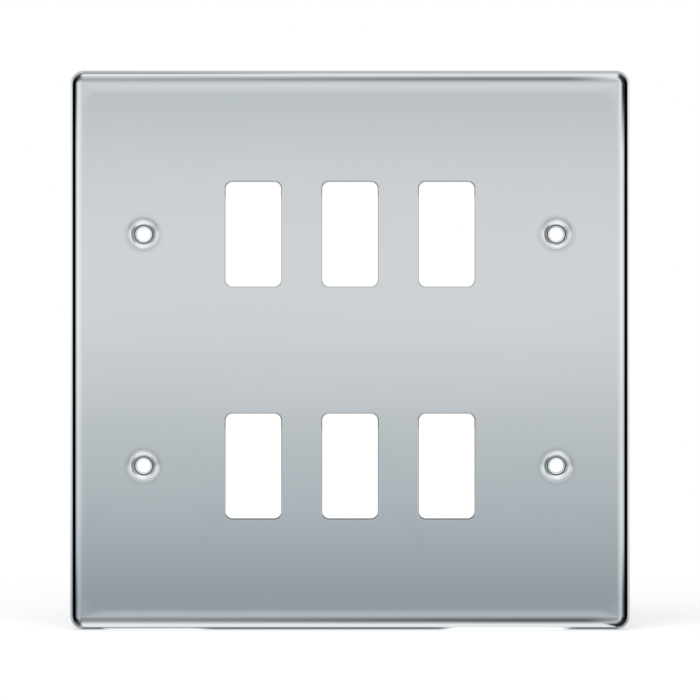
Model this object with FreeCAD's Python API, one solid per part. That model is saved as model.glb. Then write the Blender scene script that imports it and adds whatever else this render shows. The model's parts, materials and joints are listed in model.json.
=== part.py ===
import FreeCAD, Part
import math
import os

from FreeCAD import Vector

# A grid switch plate: one sheet of steel drawn into a shallow square pan, pierced with two rows of
# three rocker apertures and dished at four screw holes. Millimetres. The front faces -Y, up is +Z,
# and the origin is the middle of the plate on the wall plane, where the rim seats.

# Driving dimensions of the drawn pan
plate_width = 146.0
plate_height = 146.0
plate_depth = 7.0  # wall plane to front face
sheet = 1.0  # thickness of the steel
edge_roll = 3.4  # outside radius, front face to side wall
face_corner = 0.5  # plan radius left at each corner of the flat face, inside the roll
rim_break = 0.2  # chamfer of the trimmed rim

# Driving dimensions of the rocker apertures
columns = 3
rows = 2
column_pitch = 25.15
row_pitch = 60.3
aperture_width = 14.5
aperture_height = 27.25
aperture_corner = 1.8
shear_roll = 0.4  # rounding that the punch leaves on an aperture's front edge

# Driving dimensions of the dished screw holes, one at each end of a row
fixing_inset = 19.25  # from a hole's centre to the nearer side of the plate
screw_hole_radius = 1.8  # clears a 3.5 mm screw
dish_floor = 0.4  # width of the flat ring round the hole, at the bottom of the dish
dish_depth = 1.6  # flat face to the dish's floor
dish_round = 3.6  # radius of the sweep down to the screw head's seat
seat_slope = math.radians(45)  # half the angle of a countersunk screw head
lip_round = 0.6  # small radius where the flat face turns over into the sweep
lip_slope = math.radians(12)  # how far that radius turns the sheet

# Reach of a cutter past the surface it leaves by, and the slack for telling that a point is on a plane
overshoot = 1.0
on_plane = 1e-4

front = -plate_depth
field_reach_x = (columns - 1) * column_pitch / 2 + aperture_width
field_reach_z = (rows - 1) * row_pitch / 2 + aperture_height


def spread(count, pitch):
    """Places of `count` things at an even pitch, centred on zero."""
    return [(i - (count - 1) / 2) * pitch for i in range(count)]


def edges_along_depth(shape):
    """Straight edges that run from front to back."""
    return [e for e in shape.Edges if abs(e.Vertexes[0].Y - e.Vertexes[-1].Y) > on_plane]


def edges_at_depth(shape, y):
    """Edges that lie wholly in the plane at depth y."""
    found = []
    for edge in shape.Edges:
        middle = edge.valueAt((edge.FirstParameter + edge.LastParameter) / 2)
        heights = [vertex.Y for vertex in edge.Vertexes] + [middle.y]
        if all(abs(height - y) < on_plane for height in heights):
            found.append(edge)
    return found


def rounded_block(width, height, corner, y_front, y_back):
    """A block centred on the Y axis, with its four front-to-back edges rounded."""
    start = Vector(-width / 2, y_front, -height / 2)
    block = Part.makeBox(width, y_back - y_front, height, start)
    return block.makeFillet(corner, edges_along_depth(block))


def pan_form(inset):
    """The drawn form, brought in by `inset` all round. The sheet lies between two such forms."""
    roll = edge_roll - inset
    block = rounded_block(
        plate_width - 2 * inset, plate_height - 2 * inset, roll + face_corner, front + inset, 0
    )
    return block.makeFillet(roll, edges_at_depth(block, front + inset))


def drawn_pan():
    """The sheet after drawing and trimming: a square pan, open towards the wall."""
    pan = pan_form(0).cut(pan_form(sheet))
    return pan.makeChamfer(rim_break, edges_at_depth(pan, 0))


def pierce_apertures(plate):
    """Punch the rocker apertures from the front, which rounds over their front edges."""
    punch = rounded_block(
        aperture_width, aperture_height, aperture_corner, front - overshoot, front + sheet + overshoot
    )
    for x in spread(columns, column_pitch):
        for z in spread(rows, row_pitch):
            plate = plate.cut(punch.translated(Vector(x, 0, z)))
    front_edges = [
        edge
        for edge in edges_at_depth(plate, front)
        if abs(edge.CenterOfMass.x) < field_reach_x and abs(edge.CenterOfMass.z) < field_reach_z
    ]
    return plate.makeFillet(shear_roll, front_edges)


# A dished hole, as radius from the hole's axis and depth behind the face. The sheet turns over a small
# lip, sweeps down to the seat of a countersunk head, and drops into a cup pierced for the screw.
upright = math.pi / 2
lip_depth = lip_round * (1 - math.cos(lip_slope))
seat_depth = lip_depth + dish_round * (math.cos(lip_slope) - math.cos(seat_slope))
throat_round = (dish_depth - seat_depth) / math.cos(seat_slope)
cup_radius = screw_hole_radius + dish_floor
cup_outside = cup_radius + sheet
cup_bottom = dish_depth + sheet
dish_radius = (
    cup_radius
    + throat_round * (1 - math.sin(seat_slope))
    + dish_round * (math.sin(seat_slope) - math.sin(lip_slope))
    + lip_round * math.sin(lip_slope)
)


def turn(start, radius, from_slope, to_slope):
    """One arc of the dish's front, as an exact rational curve, and the point that it ends at."""
    half_turn = (to_slope - from_slope) / 2
    leg = radius * math.tan(half_turn)
    corner = start + Vector(-math.cos(from_slope), math.sin(from_slope), 0) * leg
    end = corner + Vector(-math.cos(to_slope), math.sin(to_slope), 0) * leg
    arc = Part.BezierCurve()
    arc.setPoles([start, corner, end])
    arc.setWeight(2, math.cos(half_turn))
    return arc.toShape(), end


def dished_ring():
    """One dished hole as a ring of sheet, revolved about the hole's axis with its face at y = 0."""
    front_rim = Vector(dish_radius, 0, 0)
    lip, sweep_start = turn(front_rim, lip_round, 0, lip_slope)
    sweep, seat = turn(sweep_start, dish_round, lip_slope, seat_slope)
    throat, floor_rim = turn(seat, throat_round, seat_slope, upright)
    bottom_facet = sheet * (2 - math.sqrt(2))
    floor_and_back = Part.makePolygon(
        [
            floor_rim,
            Vector(screw_hole_radius, dish_depth, 0),
            Vector(screw_hole_radius, cup_bottom, 0),
            Vector(cup_outside - bottom_facet, cup_bottom, 0),
            Vector(cup_outside, cup_bottom - bottom_facet, 0),
            Vector(cup_outside, seat_depth + sheet * math.cos(seat_slope), 0),
            Vector(dish_radius, sheet, 0),
            front_rim,
        ]
    )
    section = Part.Face(Part.Wire([lip, sweep, throat, *floor_and_back.Edges]))
    return section.revolve(Vector(0, 0, 0), Vector(0, 1, 0), 360)


def dish_screw_holes(plate):
    """Replace a disc of flat sheet by a dished ring at both ends of every row."""
    ring = dished_ring()
    disc_start = Vector(0, front - overshoot, 0)
    disc = Part.makeCylinder(dish_radius, sheet + 2 * overshoot, disc_start, Vector(0, 1, 0))
    reach = plate_width / 2 - fixing_inset
    for x in (-reach, reach):
        for z in spread(rows, row_pitch):
            plate = plate.cut(disc.translated(Vector(x, 0, z)))
            plate = plate.fuse(ring.translated(Vector(x, front, z)))
    return plate.removeSplitter()


plate = dish_screw_holes(pierce_apertures(drawn_pan()))

os.makedirs("parts", exist_ok=True)
plate.Solids[0].exportStep("parts/front_plate.step")
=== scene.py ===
import json
import math

import bmesh
import bpy
from mathutils import Matrix, Vector

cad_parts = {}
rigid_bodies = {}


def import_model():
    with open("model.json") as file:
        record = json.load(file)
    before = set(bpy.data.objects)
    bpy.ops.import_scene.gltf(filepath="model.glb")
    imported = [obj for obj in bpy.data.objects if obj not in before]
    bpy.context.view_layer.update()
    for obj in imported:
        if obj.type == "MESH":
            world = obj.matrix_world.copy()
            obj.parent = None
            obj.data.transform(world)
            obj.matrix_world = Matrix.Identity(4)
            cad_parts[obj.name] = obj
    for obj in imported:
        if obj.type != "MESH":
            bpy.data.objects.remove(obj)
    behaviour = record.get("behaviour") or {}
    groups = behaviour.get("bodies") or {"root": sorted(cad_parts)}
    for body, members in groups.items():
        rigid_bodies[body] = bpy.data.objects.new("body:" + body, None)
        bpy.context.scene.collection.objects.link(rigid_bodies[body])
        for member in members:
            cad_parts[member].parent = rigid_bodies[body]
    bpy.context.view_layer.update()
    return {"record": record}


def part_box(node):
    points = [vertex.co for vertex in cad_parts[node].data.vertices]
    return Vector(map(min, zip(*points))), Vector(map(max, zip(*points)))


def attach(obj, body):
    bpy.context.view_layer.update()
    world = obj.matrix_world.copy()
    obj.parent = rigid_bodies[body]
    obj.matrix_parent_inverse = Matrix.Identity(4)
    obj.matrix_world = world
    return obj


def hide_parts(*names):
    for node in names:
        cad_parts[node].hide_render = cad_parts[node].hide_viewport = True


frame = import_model()


# Drawn pan: one sheet of mild steel pressed over a square punch into a shallow pan with a rolled edge,
# and trimmed level at the wall. Buffing leaves a soft roll-off on the face, just inside the rolled edge.
lowest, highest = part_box("front_plate")
plate_width = highest.x - lowest.x
plate_height = highest.z - lowest.z
front_y = lowest.y
rim_y = highest.y
sheet = 0.001
upright = math.pi / 2
roll_radius = 0.0037  # outside of the rolled edge
roll_steps = 18
buff_tilt = math.radians(5)  # slope where the roll-off meets the rolled edge
buff_reach = 0.0028  # width of the roll-off
buff_steps = 7
corner_slack = 0.00005  # plan radius left at a corner when it is drawn to a point
corner_segments = 14
corner_zone = 0.009  # length of each side that belongs to its corner
shoulder = 0.00005  # strip of flat kept beside a bend
level_slack = 1e-6  # slack for telling that a point is at a given depth
face_on = 0.5  # a normal that reaches past this faces the room or the wall


def pick(kind, wanted):
    """In edit mode, select just the edges or faces for which wanted(element) is true."""
    bpy.ops.mesh.select_mode(type=kind)
    bpy.ops.mesh.select_all(action="DESELECT")
    mesh = bmesh.from_edit_mesh(bpy.context.object.data)
    for element in {"EDGE": mesh.edges, "FACE": mesh.faces}[kind]:
        if wanted(element):
            element.select_set(True)
    mesh.select_flush_mode()
    bmesh.update_edit_mesh(bpy.context.object.data)


def bend(radius, from_slope, to_slope, steps):
    """Steps of (inwards, forwards) round a bend of the sheet. A negative radius bends the other way."""
    slopes = [from_slope + (to_slope - from_slope) * i / steps for i in range(steps + 1)]
    return [
        (abs(radius * (math.sin(b) - math.sin(a))), radius * (math.cos(b) - math.cos(a)))
        for a, b in zip(slopes, slopes[1:])
    ]


def follow(bends):
    """Inset the selected face step by step, so that its edge follows the bends."""
    for inwards, forwards in bends:
        bpy.ops.mesh.inset(thickness=inwards, depth=forwards)


# The face's plan corners draw in to points one step into the roll-off, and are merged there.
edge_roll = bend(roll_radius, upright, buff_tilt, roll_steps)
roll_off = bend(buff_reach / math.sin(buff_tilt), buff_tilt, 0, buff_steps)
wall_y = front_y + sum(forwards for inwards, forwards in edge_roll + roll_off)
sharp_steps = edge_roll + roll_off[:1]
sharp_y = wall_y - sum(forwards for inwards, forwards in sharp_steps)
corner_radius = sum(inwards for inwards, forwards in sharp_steps) + corner_slack

bpy.ops.object.select_all(action="DESELECT")
bpy.ops.mesh.primitive_cube_add(size=1, location=(0, (wall_y + rim_y) / 2, 0))
plate = bpy.context.object
plate.name = "polished_front_plate"
plate.scale = (plate_width, rim_y - wall_y, plate_height)
bpy.ops.object.transform_apply(location=True, rotation=True, scale=True)

bpy.ops.object.mode_set(mode="EDIT")
pick("EDGE", lambda edge: abs(edge.verts[0].co.y - edge.verts[1].co.y) > sheet)
bpy.ops.mesh.bevel(offset=corner_radius, segments=corner_segments, affect="EDGES")
pick("FACE", lambda face: face.normal.y > face_on)
bpy.ops.mesh.delete(type="ONLY_FACE")
pick("FACE", lambda face: face.normal.y < -face_on)
follow(sharp_steps)
pick(
    "EDGE",
    lambda edge: edge.calc_length() < corner_radius
    and all(abs(vertex.co.y - sharp_y) < level_slack for vertex in edge.verts),
)
bpy.ops.mesh.merge(type="COLLAPSE")
pick("FACE", lambda face: face.calc_area() > plate_width * plate_height / 2)
follow(roll_off[1:])
bpy.ops.mesh.inset(thickness=shoulder)
bpy.ops.mesh.delete(type="ONLY_FACE")
for side in (-1, 1):
    bpy.ops.mesh.select_all(action="SELECT")
    bpy.ops.mesh.bisect(plane_co=(side * (plate_width / 2 - corner_zone), 0, 0), plane_no=(1, 0, 0))
    bpy.ops.mesh.select_all(action="SELECT")
    bpy.ops.mesh.bisect(plane_co=(0, 0, side * (plate_height / 2 - corner_zone)), plane_no=(0, 0, 1))


# Rocker apertures: three to a row, punched through the flat of the sheet from the front. The punch draws
# the polished skin over into a small round along each front edge.
fixing = next(mount for mount in frame["record"]["mounts"] if mount["name"] == "fixing_holes")["dims"]
mm_per_m = 1000
row_pitch = fixing["spacing_y_mm"] / mm_per_m
column_pitch = 0.02515
columns = 3
rows = 2
first_x = -column_pitch * (columns - 1) / 2
first_z = -row_pitch * (rows - 1) / 2
aperture_width = 0.0145
aperture_height = 0.02725
aperture_corner = 0.0018
aperture_corner_segments = 8
shear_roll = 0.0004  # round that the punch leaves along a front edge
landing = shear_roll + shoulder
fewest_cap_sides = 12  # a face with more sides than this still closes an opening


def cap_at(x, z):
    """Test for the many-sided face that still closes an opening centred at x, z."""
    def is_cap(face):
        middle = face.calc_center_median()
        near = abs(middle.x - x) < sheet and abs(middle.z - z) < sheet
        return len(face.verts) > fewest_cap_sides and near
    return is_cap


bpy.ops.mesh.select_all(action="DESELECT")
bpy.ops.mesh.primitive_plane_add(size=1, location=(first_x, front_y, first_z), rotation=(upright, 0, 0))
bpy.ops.transform.resize(
    value=(aperture_width + 2 * landing, 1, aperture_height + 2 * landing),
    center_override=(first_x, front_y, first_z),
)
bpy.ops.mesh.bevel(offset=aperture_corner + landing, segments=aperture_corner_segments, affect="VERTICES")
pick("FACE", cap_at(first_x, first_z))
bpy.ops.mesh.inset(thickness=landing)
for column in range(columns):
    for row in range(rows):
        if column or row:
            pick("FACE", cap_at(first_x, first_z))
            bpy.ops.mesh.select_linked()
            bpy.ops.mesh.duplicate_move(
                TRANSFORM_OT_translate={"value": (column * column_pitch, 0, row * row_pitch)}
            )


# Dished screw holes: one at each end of a row, plunged into the sheet so that a countersunk head sits flush.
# The metal turns over a small lip, sweeps down to the seat of the head, and drops into a cup whose floor is
# pierced for the screw.
hole_reach = fixing["spacing_x_mm"] / mm_per_m / 2
hole_radius = fixing["hole_r_mm"] / mm_per_m
hole_centres = [(x, first_z + row * row_pitch) for x in (-hole_reach, hole_reach) for row in range(rows)]
lip_round = 0.0006
lip_tilt = math.radians(12)
lip_steps = 4
dish_round = 0.0036  # radius of the sweep
seat_tilt = math.radians(45)
dish_steps = 14
throat_round = 0.00086  # from the seat down into the cup
throat_steps = 8
dish_floor = 0.0004  # width of the cup's floor round the hole
floor_corner = 0.0001
floor_steps = 4
dish_sides = 96

dish = bend(lip_round, 0, lip_tilt, lip_steps)
dish += bend(dish_round, lip_tilt, seat_tilt, dish_steps)
dish += bend(throat_round, seat_tilt, upright, throat_steps)
dish += bend(-floor_corner, upright, 0, floor_steps)
cup_radius = hole_radius + dish_floor
dish_radius = cup_radius - floor_corner + sum(inwards for inwards, forwards in dish)
hole_y = front_y - sum(forwards for inwards, forwards in dish)
for x, z in hole_centres:
    bpy.ops.mesh.select_all(action="DESELECT")
    bpy.ops.mesh.primitive_circle_add(
        vertices=dish_sides,
        radius=dish_radius + shoulder,
        fill_type="NGON",
        location=(x, front_y, z),
        rotation=(upright, 0, 0),
    )
    pick("FACE", cap_at(x, z))
    bpy.ops.mesh.inset(thickness=shoulder)
    follow(dish)
    bpy.ops.mesh.inset(thickness=dish_floor - floor_corner)

# The flat of the face is filled in between the pan and the openings, and the openings' caps are cut out.
pick(
    "EDGE",
    lambda edge: edge.is_boundary and all(abs(vertex.co.y - front_y) < level_slack for vertex in edge.verts),
)
bpy.ops.mesh.fill(use_beauty=True)
bpy.ops.mesh.tris_convert_to_quads()
pick("FACE", lambda face: len(face.verts) > fewest_cap_sides)
bpy.ops.mesh.delete(type="ONLY_FACE")
bpy.ops.mesh.select_all(action="SELECT")
bpy.ops.mesh.normals_make_consistent(inside=False)
bpy.ops.object.mode_set(mode="OBJECT")
if sum(face.normal.y * face.area for face in plate.data.polygons) > 0:
    plate.data.flip_normals()


# Chrome on the front: bright plating over a buffed face, faintly hazy and streaked along the buff's way. Its
# colour also holds painted light: painted shade on the rounds of the apertures, heavier on the lower row, and
# a near black painted shadow line at the foot of the lower ones. The dishes, which the buff misses, stay
# soft, and carry a painted dark halo at the lip, a painted highlight down the slope, painted dark arcs on the
# walls, painted shade in the throat and a painted highlight on the cup's floor.
class Wire:
    """A socket of a node tree, so that sums on it read as plain Python."""

    def __init__(self, tree, socket=None):
        self.tree = tree
        self.socket = socket

    def node(self, kind, settings=None, inputs=None, output=0):
        """Add a node with its settings, then its sockets' values or links, and give one of its outputs."""
        added = self.tree.nodes.new(kind)
        for name, value in (settings or {}).items():
            if name == "stops":
                ramp = added.color_ramp
                while len(ramp.elements) > 1:
                    ramp.elements.remove(ramp.elements[-1])
                ramp.elements[0].position = value[0][0]
                ramp.elements[0].color = (value[0][1],) * 3 + (1,)
                for place, level in value[1:]:
                    ramp.elements.new(place).color = (level,) * 3 + (1,)
            else:
                setattr(added, name, value)
        for name, value in (inputs or {}).items():
            if isinstance(value, Wire):
                self.tree.links.new(value.socket, added.inputs[name])
            else:
                added.inputs[name].default_value = value
        return Wire(self.tree, added.outputs[output])

    def also(self, output):
        """Another output of the same node."""
        return Wire(self.tree, self.socket.node.outputs[output])

    def split(self):
        """The X of a place or a direction, with Y and Z as its node's other outputs."""
        return self.node("ShaderNodeSeparateXYZ", {}, {0: self})

    def show(self, output):
        """Make this shader the surface that a material or a world shows."""
        self.tree.links.new(self.socket, output.inputs["Surface"])

    def math(self, operation, first, second=0.0):
        return self.node("ShaderNodeMath", {"operation": operation}, {0: first, 1: second})

    def __add__(self, other):
        return self.math("ADD", self, other)

    def __radd__(self, other):
        return self.math("ADD", other, self)

    def __sub__(self, other):
        return self.math("SUBTRACT", self, other)

    def __rsub__(self, other):
        return self.math("SUBTRACT", other, self)

    def __mul__(self, other):
        return self.math("MULTIPLY", self, other)

    def __rmul__(self, other):
        return self.math("MULTIPLY", other, self)

    def __truediv__(self, other):
        return self.math("DIVIDE", self, other)

    def __pow__(self, other):
        return self.math("POWER", self, other)

    def __abs__(self):
        return self.math("ABSOLUTE", self)

    def fade(self, start, end):
        """Smooth step from 0 where this value is start to 1 where it is end."""
        limits = {0: self, 1: start, 2: end, 3: 0.0, 4: 1.0}
        return self.node("ShaderNodeMapRange", {"interpolation_type": "SMOOTHSTEP"}, limits)

    def blend(self, first, second):
        """Colour that goes from the first to the second as this value goes from 0 to 1."""
        return self.node("ShaderNodeMix", {"data_type": "RGBA"}, {0: self, 6: first, 7: second}, output=2)


def new_material(name):
    """An empty node material, with a wire to build on and its output node."""
    material = bpy.data.materials.new(name)
    material.use_nodes = True
    material.node_tree.nodes.clear()
    output = material.node_tree.nodes.new("ShaderNodeOutputMaterial")
    return material, Wire(material.node_tree), output


def grain(place, stretch, scale, detail):
    """Noise from 0 to 1, with its grain drawn out along an axis whose stretch is under 1."""
    drawn = place.node("ShaderNodeMapping", {"vector_type": "POINT"}, {"Vector": place, "Scale": stretch})
    return place.node("ShaderNodeTexNoise", {}, {"Vector": drawn, "Scale": scale, "Detail": detail})


def finish_metal(name, colour_of, roughness_of, bump_height_of, bump_strength, bump_distance):
    """A metal material, whose colour, roughness and bump height are functions of the place on the plate."""
    material, wire, output = new_material(name)
    place = wire.node("ShaderNodeTexCoord", output="Object")
    normal = wire.node(
        "ShaderNodeBump",
        {},
        {"Strength": bump_strength, "Distance": bump_distance, "Height": bump_height_of(place)},
    )
    shader = wire.node(
        "ShaderNodeBsdfPrincipled",
        {},
        {
            "Base Color": colour_of(place),
            "Metallic": 1.0,
            "Roughness": roughness_of(place),
            "Normal": normal,
        },
    )
    shader.show(output)
    return material


# Grains of the finish, each as stretch, scale and detail
even = (1, 1, 1)
colour_haze = (even, 34, 2)
gloss_haze = (even, 60, 2)
buff_streaks = ((0.05, 1, 1), 1400, 3)
buff_ripple = (even, 70, 1)

# Colours of the plating and of its painted shade and highlights, and how far some of them cover what is under
# them
hazy_plating, clear_plating = (0.606, 0.638, 0.656, 1), (0.634, 0.662, 0.674, 1)
# Painted shade on the rounds of the aperture fronts, heavier on the lower row
round_shade_plating = (0.42, 0.445, 0.455, 1)
upper_round_shade, lower_round_shade = 0.6, 0.85
# Near black painted shadow line along the foot of the lower apertures
foot_shadow_black = (0.06, 0.068, 0.072, 1)
foot_shadow_cover = 0.95
# Painted dark halo round the lip of each dish
lip_shade_plating = (0.53, 0.555, 0.575, 1)
lip_shade_cover = 0.7
# Painted highlight down in the dishes
dish_highlight_plating = (0.72, 0.75, 0.765, 1)
# Painted shade: the dark arcs on the dish walls and the dark throat of each cup
painted_shade_plating = (0.15, 0.16, 0.17, 1)
arc_shade_cover = 0.7
# Painted shade in the throat of each cup
throat_shade_cover = 0.8
# Painted highlight on the floor of each cup round the hole
cup_floor_highlight = (0.93, 0.95, 0.96, 1)

# Where they lie: depths behind the face, then distances from a screw hole's axis
round_shade_depth = 0.00005
foot_shadow_depth = 0.000015
foot_shadow_end = 0.00016
lip_halo_width = 0.0012
buff_fade = 0.8  # share of a dish's rim inside which the buff leaves it alone
dish_highlight_rim = 0.88 * dish_radius
arc_shade_radius = 0.00298
arc_shade_width = 0.0003
arc_shade_start, arc_shade_full = 0.55, 0.85  # how far to the side a painted dark arc starts and is whole, 1 being level
right_arc_strength = 0.4  # strength of the right painted dark arc, against the left one's
throat_shade_edge = (cup_radius + 0.0003, cup_radius + 0.0002)
cup_floor_highlight_edge = (cup_radius - 0.00005, cup_radius - floor_corner)

# Roughness of the polish and what adds to it, and the buff's ripple
polish_roughness = 0.02
streak_roughness = 0.02
haze_roughness = 0.02
lip_roughness = 0.06
dish_roughness = 0.2
ripple_strength = 0.04
ripple_height = 0.0002


def from_hole_axis(place):
    """Distance from the axis of the nearest screw hole."""
    across = place.split()
    return ((abs(across) - hole_reach) ** 2 + (abs(across.also("Z")) - row_pitch / 2) ** 2) ** 0.5


def lip_haze_and_shade(place):
    """1 round the lip of each screw hole's dish, fading to 0 on the flat and down in the dish. It gives the
    lip a haze in roughness and a painted dark halo in colour.
    """
    return abs(from_hole_axis(place) - dish_radius).fade(lip_halo_width, 0)


def unbuffed_and_highlight(place, rim):
    """1 down in the dishes, out of the buff's reach, and 0 outside the rim's radius. It makes the dishes
    rougher, and in the colour it places a painted highlight.
    """
    return from_hole_axis(place).fade(rim, buff_fade * rim)


def dish_arc_shade(place):
    """1 on a painted dark arc of reflection on the left walls of the dishes, and less on their right walls.
    """
    across = place.split()
    from_axis = from_hole_axis(place)
    leftward = (hole_reach * across.math("SIGN", across) - across) / from_axis
    shaded_side = leftward.fade(arc_shade_start, arc_shade_full) + right_arc_strength * leftward.fade(-arc_shade_start, -arc_shade_full)
    return shaded_side * abs(from_axis - arc_shade_radius).fade(arc_shade_width, arc_shade_width / 2)


def aperture_round_shade(place, full_depth):
    """1 on the rounded front edges of the apertures and 0 on the flat, in the dishes and on the edge roll.
    Painted shade is laid on these rounds.
    """
    across = place.split()
    between_holes = abs(across).fade(hole_reach - dish_radius, hole_reach - 2 * dish_radius)
    between_edges = abs(across.also("Z")).fade(row_pitch, row_pitch / 2 + aperture_height)
    return (across.also("Y") - front_y).fade(0, full_depth) * between_holes * between_edges


def foot_shadow_line(place):
    """1 on the front of the rounds at the foot of the lower apertures, where a painted shadow line lies."""
    across = place.split()
    foot_z = first_z - aperture_height / 2
    at_foot = across.also("Z").fade(foot_z + aperture_corner, foot_z)
    shallow = (across.also("Y") - front_y).fade(foot_shadow_end, foot_shadow_end / 2)
    return aperture_round_shade(place, foot_shadow_depth) * shallow * at_foot


def chrome_colour(place):
    """The plating, with each finish, painted shade and painted highlight laid over the last, from the flat to
    the floor of the cups.
    """
    from_axis = from_hole_axis(place)
    lower_row = place.split().also("Z").fade(aperture_corner, -aperture_corner)
    round_shade = upper_round_shade + (lower_round_shade - upper_round_shade) * lower_row
    colour = grain(place, *colour_haze).blend(hazy_plating, clear_plating)
    # Painted shade, shadow and highlights over the plating, from the aperture rounds to the floor of the cups
    for cover, over in (
        (round_shade * aperture_round_shade(place, round_shade_depth), round_shade_plating),
        (foot_shadow_cover * foot_shadow_line(place), foot_shadow_black),
        (lip_shade_cover * lip_haze_and_shade(place), lip_shade_plating),
        (unbuffed_and_highlight(place, dish_highlight_rim), dish_highlight_plating),
        (arc_shade_cover * dish_arc_shade(place), painted_shade_plating),
        (throat_shade_cover * from_axis.fade(*throat_shade_edge), painted_shade_plating),
        (from_axis.fade(*cup_floor_highlight_edge), cup_floor_highlight),
    ):
        colour = cover.blend(colour, over)
    return colour


def chrome_roughness(place):
    return (
        polish_roughness
        + streak_roughness * grain(place, *buff_streaks)
        + haze_roughness * grain(place, *gloss_haze)
        + lip_roughness * lip_haze_and_shade(place)
        + dish_roughness * unbuffed_and_highlight(place, dish_radius)
    )


def chrome_ripple(place):
    return grain(place, *buff_ripple)


front_finish = finish_metal(
    "polished_chrome", chrome_colour, chrome_roughness, chrome_ripple, ripple_strength, ripple_height
)


# Back of the sheet: never buffed, so the mill's rolling lines show through a thin and satin plating, with
# broad watery stains where the bath drained off.
mill_lines = ((0.02, 1, 1), 900, 3)
line_foot, line_crest = (0.47, 0.475, 0.475, 1), (0.56, 0.565, 0.565, 1)
line_strength = 0.25
line_height = 0.00005
drain_marks = (even, 22, 4)
stain_edge = (0.45, 0.75)
stained_plating = (0.5, 0.475, 0.43, 1)
stain_cover = 0.5
satin_roughness = 0.3
line_roughness = 0.12
stain_roughness = 0.1


def rolling_lines(place):
    return grain(place, *mill_lines)


def stain(place):
    """1 where the bath dried on the sheet, and 0 where it is clean."""
    return grain(place, *drain_marks).fade(*stain_edge)


def back_colour(place):
    lined = rolling_lines(place).blend(line_foot, line_crest)
    return (stain_cover * stain(place)).blend(lined, stained_plating)


def back_roughness(place):
    return satin_roughness + line_roughness * rolling_lines(place) + stain_roughness * stain(place)


back_finish = finish_metal(
    "satin_back", back_colour, back_roughness, rolling_lines, line_strength, line_height
)


# Cut edges: the punch and the trimming die burnish the first part of the cut, and the rest breaks away
# into a duller and rougher band, with a ragged line between the two.
burnished_share = 0.5  # of the sheet's thickness
break_line = ((1, 0.2, 1), 1500, 2)
break_mean = 0.5  # middle of a grain's range
break_fade = 0.05
raggedness = 0.3
burnished_steel, broken_steel = (0.6, 0.62, 0.63, 1), (0.4, 0.405, 0.41, 1)
burnished_roughness = 0.18
broken_roughness = 0.32
cut_grit = (even, 2500, 2)
grit_roughness = 0.08
tears = ((1, 0.3, 1), 4000, 2)
tear_strength = 0.3
tear_height = 0.00005


def fracture(place):
    """0 on the burnished band of an aperture's wall and 1 on the broken band behind it."""
    depth = place.split().also("Y")
    share = (depth - front_y) / sheet + raggedness * (grain(place, *break_line) - break_mean)
    return share.fade(burnished_share - break_fade, burnished_share + break_fade)


def edge_colour(place):
    return fracture(place).blend(burnished_steel, broken_steel)


def edge_roughness(place):
    grit = grain(place, *cut_grit)
    return burnished_roughness + broken_roughness * fracture(place) + grit_roughness * grit


def edge_tearing(place):
    return fracture(place) * grain(place, *tears)


edge_finish = finish_metal("cut_edge", edge_colour, edge_roughness, edge_tearing, tear_strength, tear_height)


# Thickness of the sheet, with its edges broken: the punch rounds the aperture fronts, and the trimmed
# rim, the pierced holes and the backs of the apertures are tumbled free of burrs.
shear_segments = 6
rim_break = 0.0002
burr_break = 0.00008
break_segments = 3
smooth_angle = math.radians(32)
front_slot, back_slot, edge_slot = range(3)
for finish in (front_finish, back_finish, edge_finish):
    plate.data.materials.append(finish)
wall = plate.modifiers.new("sheet", "SOLIDIFY")
wall.thickness = sheet
wall.offset = -1
wall.use_even_offset = True
wall.use_rim = True
wall.material_offset = back_slot
wall.material_offset_rim = edge_slot
bpy.context.view_layer.objects.active = plate
bpy.ops.object.modifier_apply(modifier=wall.name)


def cut_edge(side, y):
    """Test for the edges between one side of the sheet and its cut edge, at one depth."""
    def is_cut(edge):
        sides = {face.material_index for face in edge.link_faces}
        return sides == {side, edge_slot} and all(abs(vertex.co.y - y) < sheet / 4 for vertex in edge.verts)
    return is_cut


bpy.ops.object.mode_set(mode="EDIT")
pick("EDGE", cut_edge(front_slot, front_y))
bpy.ops.mesh.bevel(offset=shear_roll, segments=shear_segments, affect="EDGES", material=front_slot)
for side, y, size in (
    (back_slot, front_y + sheet, burr_break),
    (front_slot, hole_y, burr_break),
    (back_slot, hole_y + sheet, burr_break),
    (front_slot, rim_y, rim_break),
    (back_slot, rim_y, rim_break),
):
    pick("EDGE", cut_edge(side, y))
    bpy.ops.mesh.bevel(offset=size, segments=break_segments, affect="EDGES", material=edge_slot)
bpy.ops.object.mode_set(mode="OBJECT")
bpy.ops.object.select_all(action="DESELECT")
plate.select_set(True)
bpy.ops.object.shade_smooth_by_angle(angle=smooth_angle)
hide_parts("front_plate")
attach(plate, "root")


# Light tent: a dome of white cloth round the plate, as a mirror finish is photographed in. It is brightest
# level with the middle of the plate and greyer below, with a dark flag hung at each side, dim seams at the
# corners and the glare of the table at its foot.
tent_radius = 0.7
tent_segments, tent_rings = 64, 32
pure_white = (1, 1, 1, 1)
dim_tint = (0.9, 1.045, 1.17, 1)

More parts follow.
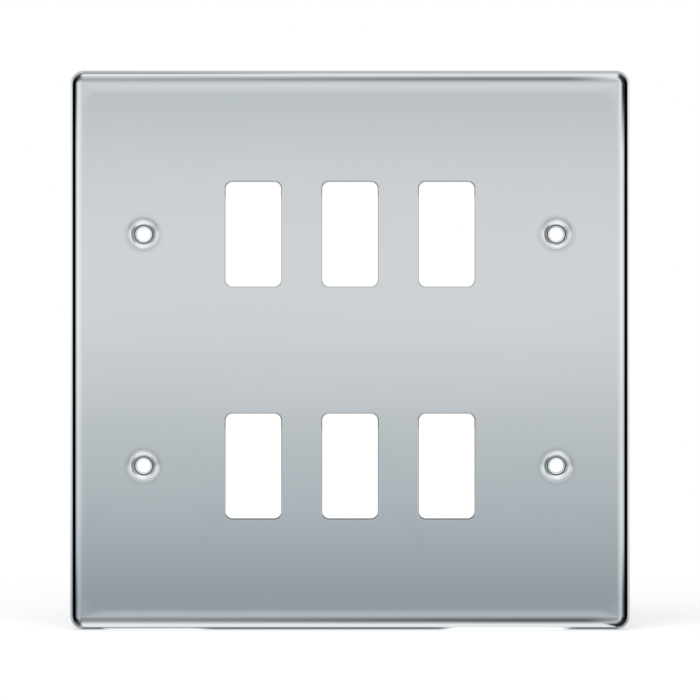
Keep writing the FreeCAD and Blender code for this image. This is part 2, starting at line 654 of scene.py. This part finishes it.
# Brightness by degrees off the camera's axis: upwards over the middle, outwards to the flags, upwards at the
# sides, and out towards the corners
arch_stops = [
    (-150, 0.85), (-128, 0.3), (-107, 0.22), (-98, 1.3), (-85, 1.25), (-70, 1.3), (-50, 1.22), (-38, 0.95),
    (-28, 0.8), (-19, 0.8), (-16.5, 0.84), (-12, 0.54), (-8.5, 0.48), (-5, 0.7), (-1, 0.9), (3, 1.0),
    (6, 0.95), (8.5, 0.81), (12, 0.93), (16, 0.99), (20, 0.86), (30, 0.8), (38, 0.95), (50, 1.22),
    (70, 1.3), (85, 1.2), (97, 0.85), (110, 0.72), (128, 0.76), (150, 1.2),
]
flag_stops = [
    (0, 1.0), (18, 1.0), (34, 1.14), (49, 1.29), (58, 1.18), (66, 0.95), (74.5, 0.45), (79, 0.3), (104, 0.3),
    (110, 0.75), (118, 1.25), (180, 1.1),
]
side_stops = [
    (-90, 1.15), (-50, 1.15), (-30, 0.95), (-20, 0.8), (-13, 0.66), (-8.5, 0.52), (-5, 0.77), (-1, 0.93),
    (3, 1.0), (10, 0.95), (30, 1.0), (60, 1.1), (90, 1.15),
]
corner_stops = [
    (0, 0.96), (18, 0.88), (30, 0.79), (43, 0.71), (56, 0.63), (63, 0.52), (70, 0.27), (78, 0.09), (86, 0.02),
    (95, 0.06), (104, 0.4), (115, 0.75), (140, 0.75), (180, 1.0),
]

# Feathered edges of what hangs in the tent, as start and end: degrees off the axis where the name says rise
# or polar, and otherwise shares of the tent's radius
seam_rise, seam_end_rise, seam_left = (91, 95), (105, 101), (0, -0.12)
seam_depth = 0.6
left_glare = (0.8, (-0.145, -0.137), (-0.078, -0.09), (-100, -125))  # strength, two ends, rise
right_glare = (1.5, (0.05, 0.062), (0.128, 0.118), (-98, -112))
side_edge = (0.2, 0.5)
lift = 0.25  # how much brighter the right side is in a low band
lift_top, lift_foot = (-0.02, -0.15), (-0.3, -0.2)
low_corner = (0, -0.15)
low_corner_depth = 0.35
corner_slant = (0.35, 0.95)  # 1 on the diagonal
front_corner_polar, back_corner_polar = (12, 26), (90, 100)
front_corner_share, back_corner_share = 0.25, 0.75


def seen_in_chrome_only(prop):
    """Let a studio prop show in reflections, and neither to the camera nor as light or shadow."""
    prop.visible_camera = False
    prop.visible_diffuse = False
    prop.visible_shadow = False
    prop.visible_transmission = False
    prop.visible_volume_scatter = False


def level_by_angle(angle, stops):
    """Tent brightness by an angle in radians, from stops in degrees. The ramp runs from -180 to 180 degrees
    by the square root of the angle, so that it is finer near 0."""
    turn = angle / math.pi
    root = angle.math("SIGN", turn) * abs(turn) ** 0.5
    places = [(0.5 + 0.5 * math.copysign(math.sqrt(abs(at) / 180), at), level) for at, level in stops]
    return angle.node("ShaderNodeValToRGB", {"stops": places}, {0: 0.5 + 0.5 * root})


def fade_by_angle(angle, edge):
    """Smooth step of an angle in radians, over an edge in degrees."""
    return angle.fade(*[math.radians(at) for at in edge])


bpy.ops.object.select_all(action="DESELECT")
bpy.ops.mesh.primitive_uv_sphere_add(
    segments=tent_segments, ring_count=tent_rings, radius=tent_radius, location=(0, 0, 0)
)
tent = bpy.context.object
tent.name = "light_tent"
bpy.ops.object.shade_smooth()
seen_in_chrome_only(tent)
material, wire, output = new_material("tent_cloth")
place = wire.node("ShaderNodeTexCoord", output="Object")
across = wire.node("ShaderNodeVectorMath", {"operation": "NORMALIZE"}, {0: place}).split()
aside, ahead, up = abs(across), 0 - across.also("Y"), across.also("Z")
rise = wire.math("ARCTAN2", up, ahead)
polar = wire.math("ARCCOSINE", ahead)

seam = fade_by_angle(rise, seam_rise) * fade_by_angle(rise, seam_end_rise)
arch = level_by_angle(rise, arch_stops) * (1 - seam_depth * seam * across.fade(*seam_left))
for strength, left_end, right_end, glare_rise in (left_glare, right_glare):
    arch = arch + strength * (
        across.fade(*left_end) * across.fade(*right_end) * fade_by_angle(rise, glare_rise)
    )

flags = level_by_angle(wire.math("ARCTAN2", aside, ahead), flag_stops)
lifted = across.fade(*side_edge) * up.fade(*lift_top) * up.fade(*lift_foot)
sides = level_by_angle(wire.math("ARCSINE", up), side_stops) * (1 + lift * lifted)

corners = level_by_angle(polar, corner_stops) * (1 - low_corner_depth * up.fade(*low_corner))
slant = 2 * aside * abs(up) / (aside ** 2 + up ** 2)
in_corner = slant.fade(*corner_slant) * (
    front_corner_share * fade_by_angle(polar, front_corner_polar)
    + back_corner_share * fade_by_angle(polar, back_corner_polar)
)

glow = arch + (sides * flags - arch) * aside.fade(*side_edge)
glow = glow + (corners - glow) * in_corner
tint = glow.blend(dim_tint, pure_white)
lit = wire.node("ShaderNodeVectorMath", {"operation": "SCALE"}, {0: tint, "Scale": glow})
wire.node("ShaderNodeEmission", {}, {"Color": lit, "Strength": 1.0}).show(output)
material.cycles.emission_sampling = "NONE"
tent.data.materials.append(material)


# Black paper in the openings: matt discs behind the screw holes, and strips behind the top edges of the
# apertures. Seen only in the chrome, they stand in for the shade in the openings, laying painted shade in the
# rounds of the openings where the bright room behind would show.
paper_clearance = 0.00002
strip_height = 0.004
strip_depth = 0.0008  # behind the face
paper_black = (0.04, 0.042, 0.045, 1)
bpy.ops.object.select_all(action="DESELECT")
bpy.ops.mesh.primitive_plane_add(size=1, location=(0, 0, 0))
paper = bpy.context.object
paper.name = "opening_paper"
bpy.ops.object.mode_set(mode="EDIT")
bpy.ops.mesh.delete(type="VERT")
for x, z in hole_centres:
    bpy.ops.mesh.primitive_circle_add(
        vertices=dish_sides,
        radius=hole_radius - paper_clearance,
        fill_type="NGON",
        location=(x, hole_y + sheet, z),
        rotation=(upright, 0, 0),
    )
for column in range(columns):
    for row in range(rows):
        top_z = first_z + row * row_pitch + aperture_height / 2 - paper_clearance
        centre = (first_x + column * column_pitch, front_y + strip_depth, top_z - strip_height / 2)
        bpy.ops.mesh.primitive_plane_add(size=1, location=centre, rotation=(upright, 0, 0))
        bpy.ops.transform.resize(
            value=(aperture_width - 2 * paper_clearance, 1, strip_height), center_override=centre
        )
bpy.ops.object.mode_set(mode="OBJECT")
seen_in_chrome_only(paper)
material, wire, output = new_material("black_paper")
wire.node("ShaderNodeEmission", {}, {"Color": paper_black, "Strength": 1.0}).show(output)
material.cycles.emission_sampling = "NONE"
paper.data.materials.append(material)


# Grey cards: feathered card, stood close off the plate's edges and corners with a black flag at each side.
# They lay a soft dark line along each rolled edge and fill the corners, while the screw holes still see the
# bright tent.
card_gap = 0.014
card_half_width = 0.016
edge_aim = math.radians(40)
side_aim = math.radians(60)
corner_aim = math.radians(70)
upper_grey = (0.24, 0.26, 0.28, 1)
lower_grey = (0.14, 0.16, 0.175, 1)
flag_black = (0, 0, 0, 1)
side_black = (0.01, 0.011, 0.012, 1)
corner_black = (0.03, 0.033, 0.036, 1)


def grey_card(name, side_x, side_z, aim, colour, near_edge, far_edge, ends, cover):
    """One card off the edge or corner on the given sides, seen in its roll at `aim` off the camera's axis.
    It is feathered over its near and far edges and over both ends, and covers more or less at each end."""
    out = Vector((side_x, 0, side_z)).normalized()
    along = Vector((out.z, 0, -out.x))
    front = Vector((0, -1, 0))
    across = out * math.cos(aim) - front * math.sin(aim)
    facing = out * math.sin(aim) + front * math.cos(aim)
    roll_axis = Vector(
        (side_x * (plate_width / 2 - roll_radius), wall_y, side_z * (plate_height / 2 - roll_radius))
    )
    foot = roll_axis + roll_radius * (out * math.sin(aim / 2) + front * math.cos(aim / 2))
    middle = foot + card_gap * facing
    start, start_full, end_full, end = ends
    bpy.ops.object.select_all(action="DESELECT")
    bpy.ops.mesh.primitive_plane_add(
        size=1,
        location=middle + along * (start + end) / 2,
        rotation=Matrix((along, across, facing)).transposed().to_euler(),
    )
    card = bpy.context.object
    card.name = name
    card.scale = (end - start, 2 * card_half_width, 1)
    bpy.ops.object.transform_apply(location=True, rotation=True, scale=True)
    seen_in_chrome_only(card)
    material, wire, output = new_material(name)
    place = wire.node("ShaderNodeTexCoord", output="Object")

    def reach(axis):
        """Distance along an axis from the card's middle."""
        dot = wire.node("ShaderNodeVectorMath", {"operation": "DOT_PRODUCT"}, {0: place, 1: axis}, output=1)
        return dot - middle.dot(axis)

    length, width = reach(along), reach(across)
    covering = cover[0] + (cover[1] - cover[0]) * length.fade(start_full, end_full)
    feathered = length.fade(start, start_full) * length.fade(end, end_full)
    feathered = feathered * width.fade(*near_edge) * width.fade(*far_edge)
    clear = wire.node("ShaderNodeBsdfTransparent", {}, {"Color": pure_white})
    face = wire.node("ShaderNodeEmission", {}, {"Color": colour, "Strength": 1.0})
    wire.node("ShaderNodeMixShader", {}, {0: feathered * covering, 1: clear, 2: face}).show(output)
    material.cycles.emission_sampling = "NONE"
    card.data.materials.append(material)


grey_card(
    "upper_card", side_x=0, side_z=1, aim=edge_aim, colour=upper_grey,
    near_edge=(-0.008, 0.0), far_edge=(0.014, 0.0), ends=(-0.084, -0.076, 0.056, 0.076), cover=(0.58, 0.96),
)
grey_card(
    "lower_card", side_x=0, side_z=-1, aim=edge_aim, colour=lower_grey,
    near_edge=(-0.0125, -0.0025), far_edge=(0.012, -0.001),
    ends=(-0.082, -0.06, 0.076, 0.084), cover=(0.97, 0.68),
)
for name, side_x in (("left_flag", -1), ("right_flag", 1)):
    grey_card(
        name, side_x, side_z=0, aim=upright, colour=flag_black,
        near_edge=(-0.007, -0.0025), far_edge=(0.006, 0.0038), ends=(-0.09, -0.08, 0.08, 0.09), cover=(1, 1),
    )
for name, side_x, near_edge, ends, cover in (
    ("left_upper_card", -1, (-0.0045, 0.005), (0.05, 0.07, 0.08, 0.085), 0.85),
    ("left_lower_card", -1, (-0.0057, 0.004), (-0.085, -0.08, -0.069, -0.05), 0.65),
    ("right_upper_card", 1, (-0.0075, 0.0), (-0.085, -0.08, -0.069, -0.05), 0.95),
    ("right_lower_card", 1, (-0.0057, 0.001), (0.048, 0.067, 0.08, 0.085), 0.8),
):
    grey_card(
        name, side_x, side_z=0, aim=side_aim, colour=side_black,
        near_edge=near_edge, far_edge=(0.012, 0.008), ends=ends, cover=(cover, cover),
    )
for name, side_x, side_z, far_edge, ends, cover in (
    ("upper_left_card", -1, 1, (0.008, 0.004), (-0.009, -0.003, 0.003, 0.009), 0.9),
    ("upper_right_card", 1, 1, (0.008, 0.004), (-0.011, -0.004, 0.004, 0.011), 0.95),
    ("lower_left_card", -1, -1, (0.008, 0.004), (-0.009, -0.003, 0.003, 0.009), 0.85),
    ("lower_right_card", 1, -1, (0.016, 0.008), (-0.014, -0.005, 0.0145, 0.0175), 1.0),
):
    grey_card(
        name, side_x, side_z, aim=corner_aim, colour=corner_black,
        near_edge=(-0.01, 0.0), far_edge=far_edge, ends=ends, cover=(cover, cover),
    )


# Floor: a plain white table of matt laminate, which the plate stands on by its lower edge. It takes the
# plate's soft shadow close by, and farther out it is lit to plain white.
floor_size = 6.0
table_white = (0.9, 0.9, 0.9, 1)
lit_share = 0.6  # how far the table is lit to white beside the plate
shadow_end = (0.1, 0.3)  # distances between which the rest of the way to white is made up
bpy.ops.object.select_all(action="DESELECT")
bpy.ops.mesh.primitive_plane_add(size=floor_size, location=(0, 0, lowest.z))
floor = bpy.context.object
floor.name = "studio_floor"
floor.visible_glossy = False
material, wire, output = new_material("white_table")
place = wire.node("ShaderNodeTexCoord", output="Object")
away = wire.node("ShaderNodeVectorMath", {"operation": "LENGTH"}, {0: place}, output=1)
lit = wire.node("ShaderNodeEmission", {}, {"Color": pure_white, "Strength": 1.0})
matt = wire.node("ShaderNodeBsdfDiffuse", {}, {"Color": table_white})
share = lit_share + (1 - lit_share) * away.fade(*shadow_end)
wire.node("ShaderNodeMixShader", {}, {0: share, 1: matt, 2: lit}).show(output)
floor.data.materials.append(material)


# Softbox: one large lamp behind diffusing cloth, hung above and in front of the plate, so that the plate's
# shadow is soft and falls close behind it.
softbox = bpy.data.lights.new("softbox", "AREA")
softbox.shape = "SQUARE"
softbox.size = 1.0
softbox.energy = 22.0
lamp = bpy.data.objects.new("softbox", softbox)
bpy.context.collection.objects.link(lamp)
lamp.location = (-0.12, -0.9, 1.2)
lamp.rotation_mode = "QUATERNION"
lamp.rotation_quaternion = (-lamp.location).to_track_quat("-Z", "Y")
lamp.visible_glossy = False


# Room: plain walls, painted white all round. The camera and the metal see them as white, and they light the
# plate softly at half of that.
room_light = 0.5
world = bpy.data.worlds.new("white_room")
bpy.context.scene.world = world
world.use_nodes = True
world.node_tree.nodes.clear()
room = Wire(world.node_tree)
path = room.node("ShaderNodeLightPath", output="Is Camera Ray")
shown = path + path.also("Is Glossy Ray") + path.also("Is Transmission Ray")
backdrop = room.node("ShaderNodeBackground", {}, {"Color": pure_white, "Strength": 1.0})
ambient = room.node("ShaderNodeBackground", {}, {"Color": pure_white, "Strength": room_light})
surround = room.tree.nodes.new("ShaderNodeOutputWorld")
room.node("ShaderNodeMixShader", {}, {0: shown, 1: ambient, 2: backdrop}).show(surround)
bpy.context.scene.view_settings.view_transform = "Standard"


# Camera: on a stand, square on to the face, with a long lens. It is so far back that the plate fills the
# frame as in the photograph.
camera_distance = 1.2
frame_width = 0.18266
lens = bpy.data.cameras.new("photo_camera")
lens.sensor_width = 36.0
lens.lens = lens.sensor_width * camera_distance / frame_width
camera = bpy.data.objects.new("photo_camera", lens)
bpy.context.collection.objects.link(camera)
camera.location = (0, wall_y - camera_distance, 0)
camera.rotation_euler = (upright, 0, 0)
bpy.context.scene.camera = camera
